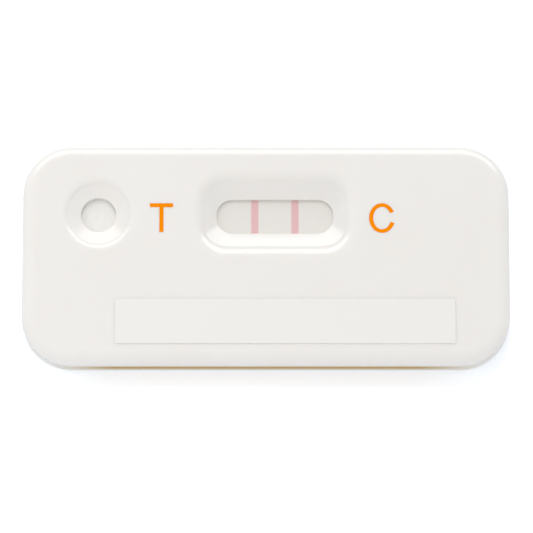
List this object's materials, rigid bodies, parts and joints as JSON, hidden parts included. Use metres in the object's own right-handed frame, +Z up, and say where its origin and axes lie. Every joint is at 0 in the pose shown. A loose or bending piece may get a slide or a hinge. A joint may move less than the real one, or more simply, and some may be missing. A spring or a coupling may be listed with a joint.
{
  "type": "lateral flow cassette",
  "caption": "Flat white plastic test cassette in two halves, with a funnel-shaped sample well and a dished result window over a layered test strip.",
  "frame": {"origin": "centre of the underside, on the surface that the cassette rests on", "axes": "+X runs along the strip from the sample well to the absorbent end, +Y to the long edge that the strip lies nearer, +Z up through the top face"},
  "size_m": [0.07, 0.032, 0.0059],
  "materials": {
    "housing": "satin gloss white moulding",
    "tray": "satin gloss white moulding",
    "card": "matte white sheet",
    "pad": "off-white fibre felt",
    "conjugate": "thin glass fibre, dyed pale red",
    "membrane": "smooth matte membrane",
    "line": "pink stripe soaked into the membrane",
    "label": "matte coated paper"
  },
  "bodies": {
    "root": {"upper_housing": "housing", "lower_housing": "tray", "backing_card": "card", "sample_pad": "pad", "conjugate_pad": "conjugate", "membrane": "membrane", "test_line": "line", "control_line": "line", "absorbent_pad": "pad", "write_on_label": "label"}
  },
  "joints": []
}
